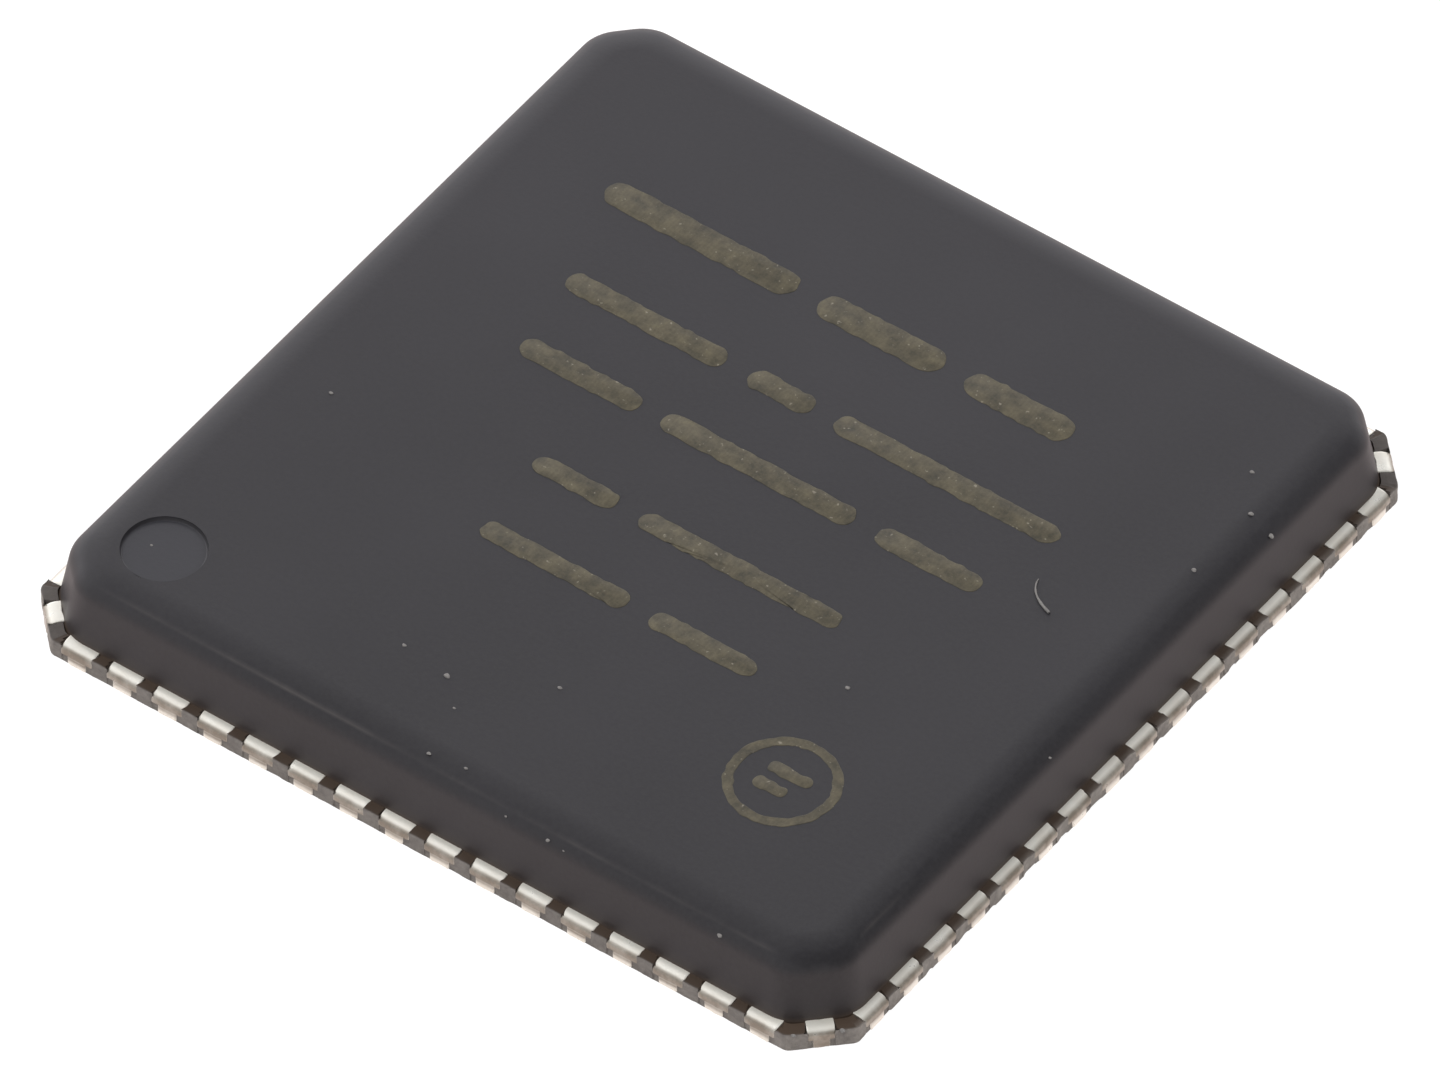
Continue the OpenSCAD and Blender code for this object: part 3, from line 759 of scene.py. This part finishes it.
def lead_row(name, degrees, seed, torn, scuff):
    """One row of leads: sheared bars set a pitch apart along the front edge, then turned to their side."""
    draw = np.random.default_rng(seed)
    uneven = 1 + draw.uniform(-WIDTH_SPREAD, WIDTH_SPREAD, (2, LEADS_A_SIDE))
    widths = np.array([[LAND_W], [LEAD_W]]) * uneven
    lag = draw.uniform(0, LAG_SPREAD, LEADS_A_SIDE)
    roll = draw.uniform(*ROLL_SPREAD, LEADS_A_SIDE)
    tear = draw.uniform(*torn, LEADS_A_SIDE)
    lengths = (LAND_LENGTH, FINGER_LENGTH)
    bars, foot, head, sheared = sheared_bars(widths, lengths, lag, roll, tear, scuff, seed)
    along = LEAD_PITCH * np.arange(LEADS_A_SIDE) - ROW_HALF
    start = np.stack([along, np.full(LEADS_A_SIDE, -LEAD_END), np.zeros(LEADS_A_SIDE)], -1)
    stacks = (bars + start[:, None, None], foot + start, head + start)
    rings, feet, heads = (turned(stack, degrees) for stack in stacks)
    row = skin(name, rings, feet, heads, {"sheared": sheared})
    keep(row, tin, name.replace("row", "leads"))

for quarter, (side, (torn, scuff)) in enumerate(SHEARED.items()):
    lead_row("row_" + side, 90 * quarter, FIRST_SEED + quarter, torn, scuff)

# %% [markdown]
# The die paddle is the large square pad under the chip, etched from the same sheet. Its lip is half as
# thick, which locks it into the epoxy, and one corner is cut to mark the first lead. It could be two boxes
# joined by a Boolean, but a stack of one outline at two sizes has clean edges all the way round.

# %% Die paddle
PAD_HALF, PAD_LIP, PAD_CHAMFER, PAD_CORNER_R = 3.65, 0.15, 0.35, 0.15

def paddle_rings():
    """The pad's outline, a square with one corner cut, stacked to half thickness and then with its lip."""
    z = np.array([0, 0, 0.004, 0.014, 0.06, ETCHED_T, ETCHED_T, 0.13, 0.188, 0.197, FRAME_T, FRAME_T])
    below = np.array([0.06, 0.014, 0.004, 0, 0, 0])
    above = np.array([0, 0, 0, 0.004, 0.014, PAD_LIP]) - PAD_LIP
    inset = np.concatenate([below, above])
    corner = (2 * PAD_HALF - PAD_CHAMFER) / np.sqrt(2)
    reach = np.array([PAD_HALF, PAD_HALF, PAD_HALF, corner, PAD_HALF]) - inset[:, None]
    turns = np.array([0.0, 90.0, 180.0, 225.0, 270.0])
    cuts = [even(30), even(30), even(30), even(4), even(30)]
    flat, _ = rounded_outline(turns, reach, np.full_like(reach, PAD_CORNER_R), cuts, 6)
    return raised(flat, z)

paddle = skin("paddle", paddle_rings()[None], np.array([[0, 0, 0.0]]), np.array([[0, 0, FRAME_T]]))
keep(paddle, tin, "die_paddle")

# %% [markdown]
# Four narrow tie bars hold the paddle in its strip until the punch cuts them at the corners of the package.
# They could be drawn as pieces of their own kind, but they are sheared just as the leads are, so the same
# function makes them, longer, and turned to the corners.

# %% Tie bars
TIE_FOOT_W, TIE_FOOT, TIE_PROUD, TIE_OVERLAP = 0.16, 0.3, 0.005, 0.15
TIE_REACH = (2 * RIM_HALF - RIM_CHAMFER) / np.sqrt(2) + TIE_PROUD
TIE_LAG = np.array([0.0, 0.004, 0.002, 0.003])
TIE_ROLL = np.array([0.056, 0.06, 0.058, 0.054])
TIE_TURNS = [-45, 45, 135, 225]
TIE_SEED = 21

def at_corners(stacks):
    """Points of the four ties, each moved out to the corner's reach and turned to its own corner."""
    start = np.array([0, -TIE_REACH, 0])
    return np.stack([turned(stack + start, angle) for stack, angle in zip(stacks, TIE_TURNS)])

tie_length = TIE_REACH - np.sqrt(2) * (PAD_HALF + PAD_LIP) + TIE_OVERLAP
tie_widths = np.array([[TIE_FOOT_W], [TIE_W]]) * np.ones(4)
tie_shape = (tie_widths, (TIE_FOOT, tie_length), TIE_LAG, TIE_ROLL)
_, front_scuff = SHEARED["front"]
bars, foot, head, sheared = sheared_bars(*tie_shape, np.ones(4), front_scuff, TIE_SEED)
# the foot of a tie has no plating on its end at all
sheared[:, :FIRST_FINGER_ROW] = sheared[:, FIRST_FINGER_ROW:FIRST_FINGER_ROW + 1]
ties = skin("tie_bars", at_corners(bars), at_corners(foot), at_corners(head), {"sheared": sheared})
keep(ties, tin)

# %% [markdown]
# A laser writes a marking by scorching the epoxy's skin, which turns a dull olive tan. The scorch could be a
# mask in the epoxy's own material, but a material of its own is easier to tune and to reuse.

# %% Scorched epoxy
LINE_GAP = 0.04

def laser_scorched_epoxy():
    """Epoxy scorched by a laser: dull olive, chalky and patchy, with pale grains painted bright as glints,
    and the beam's lines.
    """
    material, tree, place = new_material("laser_scorched_epoxy")
    mottle = add(tree, "TexNoise", {"Vector": place, "Scale": per_mm(0.16), "Detail": 5.0, "Roughness": 0.7})
    grit = add(tree, "TexNoise", {"Vector": place, "Scale": per_mm(0.05), "Detail": 2.0})
    # Blender's wave runs pi / 10 times as fast as its scale
    pace = per_mm(LINE_GAP) * np.pi / 10
    lines = add(tree, "TexWave", {"Vector": place, "Scale": pace, "Distortion": 6.0, "Detail": 2.0})
    light = add(tree, "MapRange", {0: mottle, 1: 0.32, 2: 0.7})
    burnt = add(tree, "Mix", {0: light, 6: "#343128", 7: "#5A5443"}, data_type="RGBA")
    streak = add(tree, "Mix", {0: 0.05, 6: burnt, 7: lines}, data_type="RGBA", blend_type="SOFT_LIGHT")
    # painted highlight: sparse pale grains of the scorch, bright as glints
    painted_glint = add(tree, "MapRange", {0: grit, 1: 0.66, 2: 0.74, 3: 0.0, 4: 0.6})
    tone = add(tree, "Mix", {0: painted_glint, 6: streak, 7: "#8F897C"}, data_type="RGBA")
    chalk = add(tree, "Bump", {"Height": mottle, "Distance": 0.01 * MM, "Strength": 0.6})
    finish = {"Base Color": tone, "Roughness": 0.6, "Normal": chalk, "IOR": 1.5}
    shader = add(tree, "BsdfPrincipled", finish)
    add(tree, "OutputMaterial", {"Surface": shader})
    return material

scorched = laser_scorched_epoxy()
print("made", scorched.name)

# %% [markdown]
# Plain round-ended bars are scorched into the flat top. They could be drawn as a pattern in the material.
# Each is a slab instead, a few thousandths of a millimetre high, because a scorch has hardly any depth, and
# a piece of its own keeps its outline sharp from any distance.

# %% Marking bars
MARK_RISE, MARK_GAP = 0.003, 0.26
MARK_RAGGED, MARK_GRAIN, MARK_SEED = 0.012, 0.07, 51
# of each row: left end, middle, height, and lengths of its bars; the last two lie in the ring
MARK_ROWS = [
    (-2.97, 2.33, 0.3, (2.1, 1.35, 1.16)),
    (-2.6, 1.24, 0.24, (1.75, 0.7, 2.43)),
    (-2.45, 0.36, 0.24, (1.3, 2.1, 1.12)),
    (-1.5, -0.72, 0.22, (0.9, 2.19)),
    (-1.4, -1.63, 0.22, (1.6, 1.14)),
    (2.35, -2.44, 0.13, (0.45,)),
    (2.35, -2.66, 0.13, (0.34,)),
]

def mark_bars(left, middle, height, lengths):
    """Round-ended slabs in one row: rounded rectangles with a noisy outline, each a gap after the last."""
    lengths = np.array(lengths)
    begin = left + np.concatenate([[0], np.cumsum(lengths + MARK_GAP)[:-1]])
    z = TOP + MARK_RISE * np.array([-2, 0, 0.7, 1])
    inset = np.array([0, 0, 0.001, 0.004])
    half = np.stack([lengths / 2, np.full(len(lengths), height / 2)], -1)[:, None, [0, 1, 0, 1]]
    reach = half - inset[:, None]
    radius = np.broadcast_to(height / 2 - 0.002, reach.shape) - inset[:, None]
    turns = np.array([0.0, 90.0, 180.0, 270.0])
    flat, normals = rounded_outline(turns, reach, radius, [even(2), even(40)] * 2, 8)
    centre = np.stack([begin + lengths / 2, np.full(len(lengths), middle), 0 * lengths], -1)
    rings = raised(flat, z) + centre[:, None, None]
    ragged = MARK_RAGGED * grain(rings[:, :1], MARK_GRAIN, MARK_SEED)
    rings[..., :2] += ragged[..., None] * normals
    return rings, centre

mark_sets = [mark_bars(*row) for row in MARK_ROWS]
mark_rings = np.concatenate([rings for rings, _ in mark_sets])
centres = np.concatenate([centre for _, centre in mark_sets])
low_point = centres + np.array([0, 0, TOP - 2 * MARK_RISE])
high_point = centres + np.array([0, 0, TOP + MARK_RISE])
marks = skin("marking_bars", mark_rings, low_point, high_point, crease=60)
keep(marks, scorched)

# %% [markdown]
# A ring lies round the last two bars. A torus pressed flat would come close. Here the slab's own profile is
# carried round a circle, which gives it the same height as the bars and the same uneven edges.

# %% Ring mark
RING_CENTRE, RING_R, RING_W = np.array([2.577, -2.545]), 0.488, 0.1
RING_STEPS, RING_LAP, RING_GRAIN = 96, 6, 0.7

def ring_mark():
    """A flat slab carried round a circle: a low hump of a profile, swept through a full turn, noisy edges."""
    turn = np.linspace(0, 2 * np.pi, RING_STEPS, endpoint=False)
    out = RING_R + RING_W / 2 * np.array([-1, -0.98, -0.9, 0.9, 0.98, 1])
    z = TOP + MARK_RISE * np.array([-2, 0.3, 1, 1, 0.3, -2])
    lap = np.stack([RING_LAP * np.cos(turn), RING_LAP * np.sin(turn), 0 * turn], -1)
    inner, outer = (grain(lap, RING_GRAIN, MARK_SEED + edge) for edge in (1, 2))
    out = out[:, None] + MARK_RAGGED * np.where(np.arange(6)[:, None] < 3, inner, outer)
    x = RING_CENTRE[0] + out * np.cos(turn)
    y = RING_CENTRE[1] + out * np.sin(turn)
    points = np.stack([x, y, np.broadcast_to(z[:, None], x.shape)], -1)
    here = np.arange(x.size).reshape(x.shape)
    beside, over = np.roll(here, -1, 1), np.roll(here, -1, 0)
    faces = np.stack([here, over, np.roll(over, -1, 1), beside], -1).reshape(-1, 4)
    mesh = bpy.data.meshes.new("marking_ring")
    mesh.from_pydata((points.reshape(-1, 3) * MM).tolist(), [], faces.tolist())
    return link("marking_ring", mesh)

ring = ring_mark()
keep(ring, scorched)
print("marking:", len(mark_rings), "bars and a ring")

# %% [markdown]
# Dust lies on the package, as on any part that has been handled. It has no gloss at all, and a plain grey
# would do from afar, but close up its tone and surface are uneven.

# %% Lint
def lint():
    """Household dust: grey fibres and flakes with no gloss, a little uneven in tone."""
    material, tree, place = new_material("lint")
    fluff = add(tree, "TexNoise", {"Vector": place, "Scale": per_mm(0.02), "Detail": 4.0})
    tone = add(tree, "Mix", {0: fluff, 6: "#5C5A58", 7: "#969390"}, data_type="RGBA")
    fuzz = add(tree, "Bump", {"Height": fluff, "Distance": 0.005 * MM, "Strength": 0.6})
    shader = add(tree, "BsdfPrincipled", {"Base Color": tone, "Roughness": 0.95, "Normal": fuzz})
    add(tree, "OutputMaterial", {"Surface": shader})
    return material

dust = lint()
print("made", dust.name)

# %% [markdown]
# A particle system could scatter specks of dust, but there are only a few, so each has its own place on the
# face that carries it. A speck is a small flattened pebble: a sphere, squeezed and dented by noise.

# %% Specks
# of each speck: where its middle lies, and its width
SPECKS = np.array([
    (3.703, 2.911, TOP, 0.050), (3.996, 2.493, TOP, 0.056), (4.249, 2.446, 0.765, 0.060),
    (3.989, 1.648, TOP, 0.060), (-3.643, -3.513, TOP - DIMPLE_DEPTH, 0.030),
    (2.369, -1.300, TOP, 0.045), (-0.568, -3.267, TOP, 0.060), (-1.097, -3.192, TOP, 0.045),
    (0.322, -2.796, TOP, 0.050), (-0.287, -3.540, TOP, 0.032), (-0.141, -4.102, TOP - 0.008, 0.042),
    (0.229, -4.055, TOP - 0.006, 0.034), (-3.451, -1.126, TOP, 0.040), (4.251, -0.864, 0.762, 0.030),
    (3.159, -4.264, 0.738, 0.053), (1.275, -4.258, 0.757, 0.042), (0.812, -4.251, 0.765, 0.028),
    # the last two are pale specks on the ledge beside the tie bar at the near corner
    (1.452, -4.264, 0.739, 0.024), (4.400, -4.136, 0.190, 0.055), (4.086, -4.441, 0.194, 0.050),
])
SPECK_SHAPE = np.array([1.0, 0.75, 0.45])
SPECK_DENT, SPECK_GRAIN, SPECK_SEED = 0.35, 0.9, 31
SPECK_STEPS, SPECK_APART = 14, 5.0

def speck_rings():
    """Flattened pebbles: circles of latitude, squeezed to the speck's shape and dented by noise."""
    tilt = np.linspace(0.12, 0.88, 7) * np.pi
    turn = np.linspace(0, 2 * np.pi, SPECK_STEPS, endpoint=False)
    unit = np.stack([np.outer(np.sin(tilt), np.cos(turn)), np.outer(np.sin(tilt), np.sin(turn)),
                     np.outer(-np.cos(tilt), np.ones(SPECK_STEPS))], -1)
    apart = unit + SPECK_APART * np.arange(len(SPECKS))[:, None, None, None]
    dented = unit * (1 + SPECK_DENT * grain(apart, SPECK_GRAIN, SPECK_SEED))[..., None]
    scale = SPECKS[:, 3, None] / 2 * SPECK_SHAPE
    return SPECKS[:, None, None, :3] + dented * scale[:, None, None], scale

speck_points, speck_scale = speck_rings()
drop = np.array([0, 0, 1.0]) * speck_scale
specks = skin("dust_specks", speck_points, SPECKS[:, :3] - drop, SPECKS[:, :3] + drop, crease=80)
keep(specks, dust)

# %% [markdown]
# One curled fibre lies on the top. A curve with a bevel would give an even tube. This one is a grid of
# circles along a bent path, because a real fibre is thicker at one end and a little uneven.

# %% Fibre
FIBRE_ENDS, FIBRE_BEND, FIBRE_R = ((2.95, 0.745), (3.265, 0.472)), (2.98, 0.56), 0.014
FIBRE_GRAIN, FIBRE_SEED = 0.13, 41

def fibre_rings():
    """A tube along a plane curve: the quadratic blend of two ends and a bend, with circles square to it.

    It grows thicker towards its second end, and noise makes it a little uneven.
    """
    t = np.linspace(0, 1, 25)[:, None]
    begin, end, bend = np.array(FIBRE_ENDS[0]), np.array(FIBRE_ENDS[1]), np.array(FIBRE_BEND)
    path = (1 - t) ** 2 * begin + 2 * t * (1 - t) * bend + t ** 2 * end
    ahead = (1 - t) * (bend - begin) + t * (end - bend)
    ahead = ahead / np.linalg.norm(ahead, axis=1, keepdims=True)
    turn = np.linspace(0, 2 * np.pi, 10, endpoint=False)
    uneven = grain(np.repeat(t, 3, 1), FIBRE_GRAIN, FIBRE_SEED)[:, None]
    thick = FIBRE_R * (0.35 + 0.65 * t + 0.2 * uneven)
    sideways = np.stack([ahead[:, 1], -ahead[:, 0]], -1)
    flat = path[:, None] + (thick * np.cos(turn))[..., None] * sideways[:, None]
    z = TOP + FIBRE_R * 0.6 + thick * np.sin(turn)
    return np.concatenate([flat, z[..., None]], -1)

fibre_points = fibre_rings()
ends = fibre_points.mean(1)
fibre = skin("dust_fibre", fibre_points[None], ends[:1], ends[-1:], crease=80)
keep(fibre, dust)

# %% [markdown]
# Inside, the solids of the frame are shown as they are, since the epoxy hides them: the silicon die, the
# silver adhesive under it and the gold bond wires. Each still gets the finish of its real material, so
# that a cut-away or an open view looks right.

# %% Materials of the inner parts
def polished_silicon():
    """A silicon die: dark blue-grey, polished, with the faint blocks of its circuits on top."""
    material, tree, place = new_material("polished_silicon")
    blocks = {"Color1": "#4F565F", "Color2": "#6A6F7D", "Mortar": "#8C8478", "Mortar Size": 0.02}
    circuits = add(tree, "TexBrick", {"Vector": place, "Scale": per_mm(0.45), **blocks})
    cells = add(tree, "TexNoise", {"Vector": place, "Scale": per_mm(0.03), "Detail": 2.0})
    rough = add(tree, "MapRange", {0: cells, 3: 0.12, 4: 0.3})
    shader = add(tree, "BsdfPrincipled", {"Base Color": circuits, "Metallic": 0.6, "Roughness": rough})
    add(tree, "OutputMaterial", {"Surface": shader})
    return material

def silver_filled_adhesive():
    """Epoxy glue packed with silver flakes: pale grey, glittering, pasted."""
    material, tree, place = new_material("silver_filled_adhesive")
    flakes = add(tree, "TexVoronoi", {"Vector": place, "Scale": per_mm(0.015)})
    tone = add(tree, "Mix", {0: flakes, 6: "#D0CECA", 7: "#8F8C88"}, data_type="RGBA")
    uneven = add(tree, "Bump", {"Height": flakes, "Distance": 0.003 * MM, "Strength": 0.5})
    finish = {"Base Color": tone, "Metallic": 0.7, "Roughness": 0.5, "Normal": uneven}
    shader = add(tree, "BsdfPrincipled", finish)
    add(tree, "OutputMaterial", {"Surface": shader})
    return material

def drawn_gold():
    """Fine gold wire, drawn through a die: warm yellow with a soft gloss and faint draw marks."""
    material, tree, place = new_material("drawn_gold")
    drawn = add(tree, "TexNoise", {"Vector": place, "Scale": per_mm(0.01), "Detail": 2.0})
    tone = add(tree, "Mix", {0: drawn, 6: "#E8C15A", 7: "#D3A23C"}, data_type="RGBA")
    rough = add(tree, "MapRange", {0: drawn, 3: 0.16, 4: 0.3})
    shader = add(tree, "BsdfPrincipled", {"Base Color": tone, "Metallic": 1.0, "Roughness": rough})
    add(tree, "OutputMaterial", {"Surface": shader})
    return material

# %% Finish of the inner parts
gold = drawn_gold()
inner = {"silicon_die": polished_silicon(), "die_attach": silver_filled_adhesive()}
inner.update({"bond_wires_" + side: gold for side in SHEARED})
for name, material in inner.items():
    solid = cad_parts[name]
    solid.data.materials.clear()
    solid.data.materials.append(material)
print("finished inside:", ", ".join(inner))

# %% End
print("scene built")
